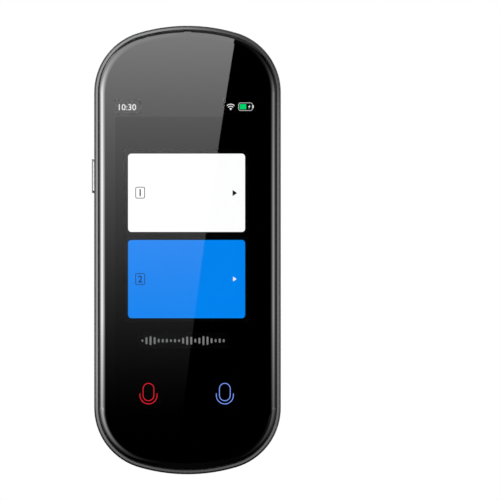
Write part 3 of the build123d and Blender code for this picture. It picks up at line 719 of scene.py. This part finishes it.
def frameRings(x, z, width, height, corner, stroke, innerCorner):
    inner = roundedBox(x, z, width - 2 * stroke, height - 2 * stroke, innerCorner)
    return [roundedBox(x, z, width, height, corner), inner]


def chargeMark():
    x, z = charge["middle"]
    width, height, corner = charge["size"]
    stroke = charge["stroke"]
    outline = frameRings(x, z, width, height, corner, stroke, corner - stroke)
    layered("charge_outline", outline, "mark", paleGlow)
    tipX = x + (width + charge["tip"][0]) / 2
    layered("charge_tip", [roundedBox(tipX, z, *charge["tip"])], "mark", softWhite)
    layered("charge_level", [roundedBox(charge["levelX"], z, *charge["level"])], "mark", greenGlow)
    size = charge["boltSize"]
    bolt = [(charge["boltX"] + px * size, z + pz * size) for px, pz in charge["bolt"]]
    layered("charge_bolt", [bolt], "mark", softWhite)


chargeMark()

cards = {
    "left": -17.84,
    "right": 17.27,
    "corner": 1.0,
    "badgeX": -14.2,
    "badge": (2.9, 3.5, 0.5, 0.22, 0.3),  # width, height, corner, stroke and inner corner
    "numberSize": 2.9,
    "numberWeight": 0.06,
    "arrowX": 14.2,
    "arrowWidth": 1.35,
    "arrowHeight": 1.85,
}

talkCards = {
    "upper_card": {
        "number": "1",
        "top": 28.9,
        "bottom": 5.42,
        "badgeZ": 17.2,
        "arrowZ": 17.1,
        "arrowScale": 1.0,
        "looks": (whiteGlow, inkMark, inkMark),  # of the card, its badge and its arrow
    },
    "lower_card": {
        "number": "2",
        "top": 3.0,
        "bottom": -20.44,
        "badgeZ": -8.7,
        "arrowZ": -8.7,
        "arrowScale": 0.8,
        "looks": (blueGlow, blueMark, softWhite),
    },
}


def talkCard(name, card):
    faceLook, badgeLook, arrowLook = card["looks"]
    left, right, top, bottom = cards["left"], cards["right"], card["top"], card["bottom"]
    face = roundedBox((left + right) / 2, (top + bottom) / 2, right - left, top - bottom, cards["corner"])
    layered(name, [face], "card", faceLook)
    x, z = cards["badgeX"], card["badgeZ"]
    layered(name + "_badge", frameRings(x, z, *cards["badge"]), "mark", badgeLook)
    digits(name + "_number", card["number"], (x, z), cards["numberSize"], cards["numberWeight"], badgeLook)
    x, z = cards["arrowX"], card["arrowZ"]
    halfWidth = cards["arrowWidth"] * card["arrowScale"] / 2
    halfHeight = cards["arrowHeight"] * card["arrowScale"] / 2
    arrow = [(x - halfWidth, z + halfHeight), (x - halfWidth, z - halfHeight), (x + halfWidth, z)]
    layered(name + "_arrow", [arrow], "mark", arrowLook)


for name, card in talkCards.items():
    talkCard(name, card)

voice = {
    "left": -13.8,
    "right": 11.3,
    "middleZ": -27.2,
    "pitch": 1.22,
    "bar": 0.56,
    "corner": 0.27,
    "low": 0.7,
    "high": 2.9,
    "waves": (0.71, 0.23),  # how fast its swell and its slower beat run from bar to bar
}


def voiceLine():
    count = int((voice["right"] - voice["left"]) / voice["pitch"]) + 1
    swellRate, beatRate = voice["waves"]
    rings = []
    for i in range(count):
        swell = abs(math.sin(i * swellRate) * math.cos(i * beatRate))
        height = voice["low"] + (voice["high"] - voice["low"]) * swell
        x = voice["left"] + voice["bar"] / 2 + i * voice["pitch"]
        rings.append(roundedBox(x, voice["middleZ"], voice["bar"], height, voice["corner"], steps=3))
    layered("voice_line", rings, "mark", greyGlow)


voiceLine()

keyMark = {
    "z": -43.1,
    "capsuleWidth": 3.25,
    "capsuleTop": 3.1,
    "capsuleBottom": -2.12,
    "cupRadius": 2.56,
    "cupDrop": 0.52,
    "stroke": 0.23,
}


def microphoneMark(name, x, material):
    z, stroke = keyMark["z"], keyMark["stroke"]
    radius, cup = keyMark["capsuleWidth"] / 2, keyMark["cupRadius"]
    high = z + keyMark["capsuleTop"] - radius
    low = z + keyMark["capsuleBottom"] + radius
    capsule = arcPoints(x, high, radius, 0, 180, steps=16) + arcPoints(x, low, radius, 180, 360, steps=16)
    bowl = arcPoints(x, z - keyMark["cupDrop"], cup, 180, 360, steps=24)
    rings = strokeRings(capsule, stroke, closed=True)
    rings += strokeRings([(x - cup, z)] + bowl + [(x + cup, z)], stroke)
    layered(name, rings, "mark", material)


microphoneMark("red_key_mark", openings["redKey"][0], redKeyGlow)
microphoneMark("blue_key_mark", openings["blueKey"][0], blueKeyGlow)

print("display and keys drawn")

cameraRings = {
    "printOuter": 3.55,
    "printInner": 2.9,
    "printFront": 5.76,
    "printBack": 5.78,
    # radius and depth of each point of its profile
    "retainer": [(2.88, 4.82), (2.88, 5.2), (2.8, 5.3), (2.62, 5.3), (2.48, 5.25), (2.42, 5.1)],
    "rimRadius": 2.52,
    "rimDepth": 5.3,
    "rimBead": 0.07,
}

ringInk = grained("ringInk", grey(0.006), grey(0.004), (0.3, 0.4), scale=3000.0, bump=0.05)
retainerBlack = ringed("retainerBlack", grey(0.09), grey(0.03), 2.9, 0.02, {"Metallic": 0.9}, bump=0.4)
violetTints = (tint(0.45, 0.38, 0.85), tint(0.5, 0.45, 0.9))
coatingViolet = ringed("coatingViolet", *violetTints, 2.6, 0.02, {"Metallic": 1.0}, bump=0.2)


def cameraDetails():
    rings = cameraRings
    printRings = [circleRing(*cameraCentre, rings[edge]) for edge in ("printOuter", "printInner")]
    stamped("window_print", printRings, rings["printFront"], rings["printBack"], ringInk)
    turned("lens_retainer", rings["retainer"], cameraCentre, retainerBlack)
    rim = arcPoints(rings["rimRadius"], rings["rimDepth"], rings["rimBead"], 0, 180, steps=12)
    turned("lens_rim", rim, cameraCentre, coatingViolet)


cameraDetails()

contacts = {
    "perSide": 12,
    "pitch": 0.5,
    "size": (0.28, 0.04, 3.4),  # width, thickness, length
}


def socketContacts():
    low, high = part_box("usb_tongue")
    centre = (low + high) / 2
    size = Vector(contacts["size"]) * mm
    work = bmesh.new()
    for y in (low.y - size.y / 2, high.y + size.y / 2):
        for i in range(contacts["perSide"]):
            x = centre.x + (i - (contacts["perSide"] - 1) / 2) * contacts["pitch"] * mm
            stand = Matrix.LocRotScale(Vector((x, y, centre.z)), None, size)
            bmesh.ops.create_cube(work, size=1.0, matrix=stand)
    mesh = bpy.data.meshes.new("socket_contacts")
    work.to_mesh(mesh)
    work.free()
    keepPiece("socket_contacts", mesh, finishes["contact_gold"], smooth=False)


socketContacts()

print("camera and socket finished")

# from here on in metres; a ramp gives two places and the light at each, or 0 and 1 where it names none


def lightOnly(source, nodeNames):
    group = bpy.data.collections.new(source.name + "Receivers")
    for name in nodeNames:
        group.objects.link(frame["nodes"][name])
    source.light_linking.receiver_collection = group


def rectangle(axis, at, low, high):
    # corners of a flat rectangle across one axis
    corners = [(low[0], low[1]), (high[0], low[1]), (high[0], high[1]), (low[0], high[1])]
    return [(*corner[:axis], at, *corner[axis:]) for corner in corners]


def stageMesh(name, corners, material):
    mesh = bpy.data.meshes.new(name)
    mesh.from_pydata(corners, [], [list(range(len(corners)))])
    mesh.materials.append(material)
    panel = addToScene(name, mesh)
    return panel


def stageCard(name, corners, light, receivers=None):
    # a card that only reflections see, and if named only those of some nodes
    material, tree = emptyMaterial(name)
    strength = light(tree, axesOf(tree, scenePlace(tree))) if callable(light) else light
    glow = addNode(tree, "ShaderNodeEmission", {"Color": grey(1.0), "Strength": strength})
    addNode(tree, "ShaderNodeOutputMaterial", {"Surface": glow.outputs["Emission"]})
    card = stageMesh(name, corners, material)
    card.visible_camera = False
    card.visible_diffuse = False
    card.visible_shadow = False
    if receivers:
        lightOnly(card, receivers)


glassCard = {
    "depth": -0.9,  # where the reflected card stands
    "behind": 0.02,  # and how far behind it the darker one
    "left": -1.0,
    "right": 1.0,
    "bottom": -0.9,
    "top": 1.3,
    "darkLeft": -0.1,
    "edge": (0.0048, 0.137, 0.2),  # its slanted right edge: x at the middle, slope, curve
    "edgeTop": 0.062,
    "edgeSteps": 12,
    "fanSlope": 0.305,  # above that height the edge leans further out
    "fade": (-0.0585, 0.0654),  # between these heights its light comes up
    "strength": 4.9,
    "fadePower": 2.3,
    "stepZ": 0.04,  # below this height and right of this x the card is a little darker
    "stepX": -0.0217,
    "stepDim": 0.15,
}

glassRing = {
    "end": 0.92,  # distance from the middle at which the bright ring has ended
    "level": 0.02,  # up to this height it keeps its strength
    "foot": (-0.067, -0.02, 0.3, 1.0),
    "leftSide": (0.0, -0.05),
}

ringSides = {
    # distances at which the ring starts and peaks, its strength, how fast it fades upwards,
    # the strength of its lower corner and how far that is moved outwards
    "Left": {"start": 0.07, "peak": 0.42, "strength": 22.0, "fade": 3.5, "corner": 3.9, "outward": 0.0},
    "Right": {"start": 0.15, "peak": 0.56, "strength": 6.8, "fade": 5.0, "corner": 1.15, "outward": 0.0016},
}


def lengthOf(tree, across, along):
    squares = mathNode(tree, "ADD", product(tree, across, across), product(tree, along, along))
    return mathNode(tree, "SQRT", squares)


def ringGlow(tree, place, side):
    # upright arc of light round the middle, strongest level with it
    distance = lengthOf(tree, place["X"], place["Z"])
    rise = rampNode(tree, distance, side["start"], side["peak"], smooth=True)
    fall = rampNode(tree, distance, side["peak"], glassRing["end"], 1.0, 0.0, smooth=True)
    climb = mathNode(tree, "SUBTRACT", mathNode(tree, "ABSOLUTE", place["Z"]), glassRing["level"])
    climb = mathNode(tree, "DIVIDE", mathNode(tree, "MAXIMUM", climb, 0.0), distance)
    reach = mathNode(tree, "EXPONENT", product(tree, climb, -side["fade"]))
    foot = rampNode(tree, place["Z"], *glassRing["foot"])
    return product(tree, rise, fall, reach, foot, side["strength"])


def leftGlow(tree, place):
    # light that fades downwards, with the left half of the ring on top
    card = glassCard
    fade = mathNode(tree, "POWER", rampNode(tree, place["Z"], *card["fade"]), card["fadePower"])
    low = mathNode(tree, "LESS_THAN", place["Z"], card["stepZ"])
    inner = mathNode(tree, "GREATER_THAN", place["X"], card["stepX"])
    step = mathNode(tree, "SUBTRACT", 1.0, product(tree, low, inner, card["stepDim"]))
    side = rampNode(tree, place["X"], *glassRing["leftSide"])
    arc = product(tree, ringGlow(tree, place, ringSides["Left"]), side)
    return mathNode(tree, "ADD", product(tree, fade, card["strength"], step), arc)


def rightGlow(tree, place):
    return ringGlow(tree, place, ringSides["Right"])


def frontCards():
    card = glassCard
    middle, slope, curve = card["edge"]
    y, top, steps = card["depth"], card["edgeTop"], card["edgeSteps"]
    heights = [top * i / steps for i in range(-steps, steps + 1)]
    edge = [(middle + slope * h + curve * h * h, y, h) for h in heights]
    fan = (edge[-1][0] + card["fanSlope"] * (card["top"] - top), y, card["top"])
    left = [(card["left"], y, card["top"]), (card["left"], y, card["bottom"])]
    corners = left + [(edge[0][0], y, card["bottom"])] + edge + [fan]
    stageCard("fadeCard", corners, leftGlow, ["cover_glass"])
    low, high = (card["darkLeft"], card["bottom"]), (card["right"], card["top"])
    stageCard("darkCard", rectangle(1, y - card["behind"], low, high), rightGlow, ["cover_glass"])


backCard = {
    "depth": 0.1,
    "halfWidth": 0.036,
    "top": 0.114,
    "growth": 22.6,  # of its light, per metre of height
    "middleStrength": 0.56,
    "mostStrength": 3.7,
    "receivers": ["back_cover", "front_frame", "camera_trim", "power_button", "usb_shell"],
}

backStrip = {"inner": 0.075, "outer": 0.108, "top": 0.13, "strength": 0.95}
backFlag = {"behind": 0.01, "halfWidth": 0.3, "top": 0.235, "strength": 0.1}

sideFlag = {
    "reach": 0.3,  # to the side, front, back and top
    "front": (0.25, -0.3, 0.14, 0.7),  # lighter towards the front
    "high": (-0.067, 0.06, 0.75, 1.01),
    "foot": (-0.067, -0.05, 0.7, 1.0),
    "above": (0.07, 0.19, 1.0, 0.55),
}

topCard = {
    "height": 0.4,
    "halfWidth": 0.6,
    "halfDepth": 0.5,
    "strength": 0.25,
    "wide": (0.3, 0.6, 0.0, 0.5),  # lighter towards its borders
    "deep": (0.2, 0.5, 0.0, 0.4),
}

floorFlag = {
    "lift": 0.0001,
    "reach": 0.35,
    "near": (0.009, 0.016, 0.44, 0.0),  # lightest under the middle of the object
    "inner": (0.002, 0.022, 1.0, 0.1),
    "least": 0.055,
    "front": (-0.0065, 0.0, 0.1, 1.0),
    "outer": (0.012, 0.1, 0.0, 0.19),
}


def backFade(tree, place):
    growth = mathNode(tree, "EXPONENT", product(tree, place["Z"], backCard["growth"]))
    glow = product(tree, growth, backCard["middleStrength"])
    return mathNode(tree, "MINIMUM", glow, backCard["mostStrength"])


def sideGlow(tree, place):
    front = rampNode(tree, place["Y"], *sideFlag["front"])
    high = rampNode(tree, place["Z"], *sideFlag["high"])
    foot = rampNode(tree, place["Z"], *sideFlag["foot"], smooth=True)
    above = rampNode(tree, place["Z"], *sideFlag["above"], smooth=True)
    return product(tree, front, high, foot, above)


def topGlow(tree, place):
    across = mathNode(tree, "ABSOLUTE", place["X"])
    along = mathNode(tree, "ABSOLUTE", place["Y"])
    wide = rampNode(tree, across, *topCard["wide"], smooth=True)
    deep = rampNode(tree, along, *topCard["deep"], smooth=True)
    return mathNode(tree, "ADD", mathNode(tree, "ADD", wide, deep), topCard["strength"])


def floorGlow(tree, place):
    across = mathNode(tree, "ABSOLUTE", place["X"])
    near = rampNode(tree, place["Y"], *floorFlag["near"], smooth=True)
    inner = rampNode(tree, across, *floorFlag["inner"], smooth=True)
    middle = mathNode(tree, "ADD", product(tree, near, inner), floorFlag["least"])
    front = rampNode(tree, place["Y"], *floorFlag["front"], smooth=True)
    outer = rampNode(tree, across, *floorFlag["outer"], smooth=True)
    return mathNode(tree, "ADD", product(tree, middle, front), outer)


def backCards():
    low = cadBox[0].z
    y, half, metals = backCard["depth"], backCard["halfWidth"], backCard["receivers"]
    stageCard("backCard", rectangle(1, y, (-half, low), (half, backCard["top"])), backFade, metals)
    reach = sideFlag["reach"]
    for side, name in ((-1, "Left"), (1, "Right")):
        inner, outer = (side * backStrip["inner"], low), (side * backStrip["outer"], backStrip["top"])
        stageCard("backStrip" + name, rectangle(1, y, inner, outer), backStrip["strength"], metals)
        stageCard("sideFlag" + name, rectangle(0, side * reach, (-reach, low), (reach, reach)), sideGlow)
    half = backFlag["halfWidth"]
    corners = rectangle(1, y + backFlag["behind"], (-half, low), (half, backFlag["top"]))
    stageCard("backFlag", corners, backFlag["strength"])
    wide, deep = topCard["halfWidth"], topCard["halfDepth"]
    stageCard("topCard", rectangle(2, topCard["height"], (-wide, -deep), (wide, deep)), topGlow)
    reach, front = floorFlag["reach"], glassCard["depth"] - glassCard["behind"]
    corners = rectangle(2, low + floorFlag["lift"], (-reach, front), (reach, reach))
    stageCard("floorFlag", corners, floorGlow)


stageSet = {
    "floorReach": 3.0,
    "floorColor": 0.84,
    "floorShade": 0.82,
    "floorWhite": (0.16, 0.5),  # the floor turns from lit paper to plain white between these distances
    "skyLight": 0.75,
}


def seenRays(tree):
    # 1 where the camera sees a thing, plainly or in metal and glass
    rays = addNode(tree, "ShaderNodeLightPath").outputs
    seen = mathNode(tree, "ADD", rays["Is Camera Ray"], rays["Is Glossy Ray"])
    return mathNode(tree, "ADD", seen, rays["Is Transmission Ray"], clamp=True)


def makeFloor():
    # paper that keeps the shadow near the object and is plain white further out
    paperGreys = (grey(stageSet["floorColor"]), grey(stageSet["floorShade"]))
    paper = grained("floorPaper", *paperGreys, (0.8, 0.9), scale=300.0, specular=0.0)
    tree = paper.node_tree
    distance = vectorNode(tree, "LENGTH", scenePlace(tree))["Value"]
    far = rampNode(tree, distance, *stageSet["floorWhite"], smooth=True)
    glow = addNode(tree, "ShaderNodeEmission", {"Color": grey(1.0), "Strength": 1.0})
    looks = {
        "Fac": product(tree, far, seenRays(tree)),
        1: findNode(tree, "BSDF_PRINCIPLED").outputs["BSDF"],
        2: glow.outputs["Emission"],
    }
    mix = addNode(tree, "ShaderNodeMixShader", looks)
    tree.links.new(mix.outputs["Shader"], findNode(tree, "OUTPUT_MATERIAL").inputs["Surface"])
    reach = stageSet["floorReach"]
    stageMesh("floor", rectangle(2, cadBox[0].z, (-reach, -reach), (reach, reach)), paper)


def makeWorld():
    world = bpy.data.worlds.new("studio")
    bpy.context.scene.world = world
    world.use_nodes = True
    tree = world.node_tree
    tree.nodes.clear()
    strength = rampNode(tree, seenRays(tree), 0.0, 1.0, stageSet["skyLight"], 1.0)
    sky = addNode(tree, "ShaderNodeBackground", {"Color": grey(1.0), "Strength": strength})
    addNode(tree, "ShaderNodeOutputWorld", {"Surface": sky.outputs["Background"]})


def makeLamp(name, place, target, width, height, power, receivers=None, roll=0):
    lamp = bpy.data.lights.new(name, "AREA")
    lamp.shape = "RECTANGLE"
    lamp.size = width
    lamp.size_y = height
    lamp.energy = power
    holder = addToScene(name, lamp)
    holder.location = place
    aim = Vector(target) - Vector(place)
    turn = aim.to_track_quat("-Z", "Y") @ Quaternion((0, 0, 1), math.radians(roll))
    holder.rotation_euler = turn.to_euler()
    if receivers:
        holder.visible_diffuse = False
        holder.visible_transmission = False
        lightOnly(holder, receivers)
    return holder


def shadeLamp(lamp, light):
    # lets the light of a lamp vary across its face
    lamp.data.use_nodes = True
    tree = lamp.data.node_tree
    strength = light(tree, axesOf(tree, scenePlace(tree)))
    tree.links.new(strength, findNode(tree, "EMISSION").inputs["Strength"])


rimLamp = {
    "y": -0.1,
    "width": 0.09,
    "height": 0.17,
    "rise": (-0.062, -0.036, 0.55, 1.28),
    "right": (-0.008, 0.016),  # its light sinks to the first share towards this side
    "above": (-0.06, -0.045),
    "upper": (0.038, 0.056),  # and to the second in the upper corner
    "shares": (0.52, 0.35),
    "receivers": ["front_frame", "back_cover", "power_button"],
}


def rimGlow(tree, place):
    # brightest at the upper left, dimmest at the upper right corner
    level = rampNode(tree, place["Z"], *rimLamp["rise"], smooth=True)
    right = rampNode(tree, place["X"], *rimLamp["right"], smooth=True)
    right = product(tree, right, rampNode(tree, place["Z"], *rimLamp["above"], smooth=True))
    corner = product(tree, right, rampNode(tree, place["Z"], *rimLamp["upper"], smooth=True))
    for shade, share in zip((right, corner), rimLamp["shares"]):
        level = product(tree, level, rampNode(tree, shade, 0.0, 1.0, 1.0, share))
    return level


def makeRimLamp():
    width, height = rimLamp["width"], rimLamp["height"]
    power = math.pi * width * height
    lamp = makeLamp("rimLamp", (0, rimLamp["y"], 0), (0, 0, 0), width, height, power, rimLamp["receivers"])
    shadeLamp(lamp, rimGlow)


cornerLamp = {
    "y": -0.0165,  # just in front of the glass
    "width": 0.04,
    "spread": 100,
    "rise": (0.0168, 0.0205),  # over distances from the centre of the corner
    "fall": (0.022, 0.029, 1.0, 0.0),
    "foot": (-0.064, -0.049, 0.065, 1.0),
    "middle": (0.008, 0.02),  # keeps it away from the middle of the glass
}


def cornerGlow(tree, place, outward):
    # carries the ring of light on round a lower corner of the glass
    centreX, centreZ = cornerCentre()
    off = mathNode(tree, "ABSOLUTE", place["X"])
    across = mathNode(tree, "MAXIMUM", mathNode(tree, "SUBTRACT", off, centreX * mm), 0.0)
    down = mathNode(tree, "ADD", place["Z"], centreZ * mm)
    distance = mathNode(tree, "SUBTRACT", lengthOf(tree, across, down), outward)
    rise = rampNode(tree, distance, *cornerLamp["rise"], smooth=True)
    fall = rampNode(tree, distance, *cornerLamp["fall"], smooth=True)
    foot = rampNode(tree, place["Z"], *cornerLamp["foot"])
    return product(tree, rise, fall, foot, rampNode(tree, off, *cornerLamp["middle"]))


def makeCornerLamp(name, side, direction):
    # stands before a lower corner, where the floor would cut off the ring of light
    width = cornerLamp["width"]
    top = -cornerCentre()[1] * mm
    height = top - cadBox[0].z
    x, z = direction * width / 2, top - height / 2
    power = side["corner"] * math.pi * width * height
    place = (x, cornerLamp["y"], z)
    lamp = makeLamp(name, place, (x, 0, z), width, height, power, ["cover_glass"])
    lamp.data.spread = math.radians(cornerLamp["spread"])
    shadeLamp(lamp, lambda tree, spot: cornerGlow(tree, spot, side["outward"]))


plainLamps = {
    # place, point that it faces, width, height, power and the nodes that it lights, if not all
    "topLamp": ((0, 0.15, 0.8), (0, 0, 0), 0.9, 0.5, 4.5),
    "keyLamp": ((-0.9, -0.9, 0.9), (0, 0, 0), 0.5, 0.5, 3.0),
    "bandLampFront": ((0, -0.16, 0.399), (0, -0.16, 0), 0.13, 0.16, 0.225, ["back_cover"]),
    "bandLampMiddle": ((0, 0, 0.399), (0, 0, 0), 0.13, 0.16, 0.19, ["back_cover"]),
    "bandLampBack": ((0, 0.15, 0.399), (0, 0.15, 0), 0.13, 0.14, 0.121, ["back_cover"]),
    "edgeLampLeft": ((-0.3, -0.5, 0.05), (0, -0.5, 0.05), 0.3, 0.4, 0.4, ["back_cover"]),
    "edgeLampRight": ((0.3, -0.5, 0.05), (0, -0.5, 0.05), 0.3, 0.4, 0.4, ["back_cover"]),
}

windowPane = {
    "place": (0.0233, 0.09, 0.0734),
    "width": 0.06,
    "height": 0.08,
    "power": 0.1,
    "roll": -38,
    "fade": (0.051, 0.058, 0.1, 1.0),
}


def windowGlow(tree, place):
    return rampNode(tree, place["Z"], *windowPane["fade"], smooth=True)


def makeWindowLamp():
    # pane whose light fades out towards its slanted lower edge
    pane = windowPane
    x, y, z = pane["place"]
    size = (pane["width"], pane["height"])
    lamp = makeLamp("windowLamp", (x, y, z), (x, 0, z), *size, pane["power"], ["camera_window"], pane["roll"])
    shadeLamp(lamp, windowGlow)


lensLamps = {
    # clock angle in degrees as seen from behind, distance off the axis, width, height, power, colour
    "lensTopLamp": (0, 0.031, 0.02, 0.03, 0.018, (0.85, 0.8, 1)),
    "lensBlueLamp": (42, 0.031, 0.018, 0.024, 0.014, (0.12, 0.12, 1)),
    "lensSideLamp": (-70, 0.033, 0.03, 0.024, 0.0025, (1, 1, 1)),
    "lensLowLamp": (-135, 0.05, 0.02, 0.02, 0.013, (0.6, 0.65, 1)),
    "lensBottomLamp": (180, 0.03, 0.012, 0.014, 0.0032, (1, 0.5, 1)),
}
lensLampDepth = 0.095


def makeLensLamp(name, clockAngle, off, width, height, power, color):
    # small lamp beside the axis of the lens, which sees it through its window
    axisX, axisZ = cameraCentre[0] * mm, cameraCentre[1] * mm
    angle = math.radians(clockAngle)
    place = (axisX - off * math.sin(angle), lensLampDepth, axisZ + off * math.cos(angle))
    receivers = ["camera_window", "camera_lens"]
    lamp = makeLamp(name, place, (axisX, 0, axisZ), width, height, power, receivers)
    lamp.data.color = color
    lamp.visible_transmission = True


view = {"width": 0.15, "place": (0.01875, -1.2, 0), "nearest": 0.01, "farthest": 20}


def makeCamera():
    lens = bpy.data.cameras.new("camera")
    lens.type = "ORTHO"
    lens.ortho_scale = view["width"]
    lens.clip_start = view["nearest"]
    lens.clip_end = view["farthest"]
    holder = addToScene("camera", lens)
    holder.location = view["place"]
    holder.rotation_euler = (math.radians(90), 0, 0)
    bpy.context.scene.camera = holder


frontCards()
backCards()
makeFloor()
makeWorld()
for name, settings in plainLamps.items():
    makeLamp(name, *settings)
makeRimLamp()
for name, direction in (("Left", -1), ("Right", 1)):
    makeCornerLamp("cornerLamp" + name, ringSides[name], direction)
makeWindowLamp()
for name, settings in lensLamps.items():
    makeLensLamp(name, *settings)
makeCamera()
bpy.context.scene.view_settings.view_transform = "Standard"

print("stage set")
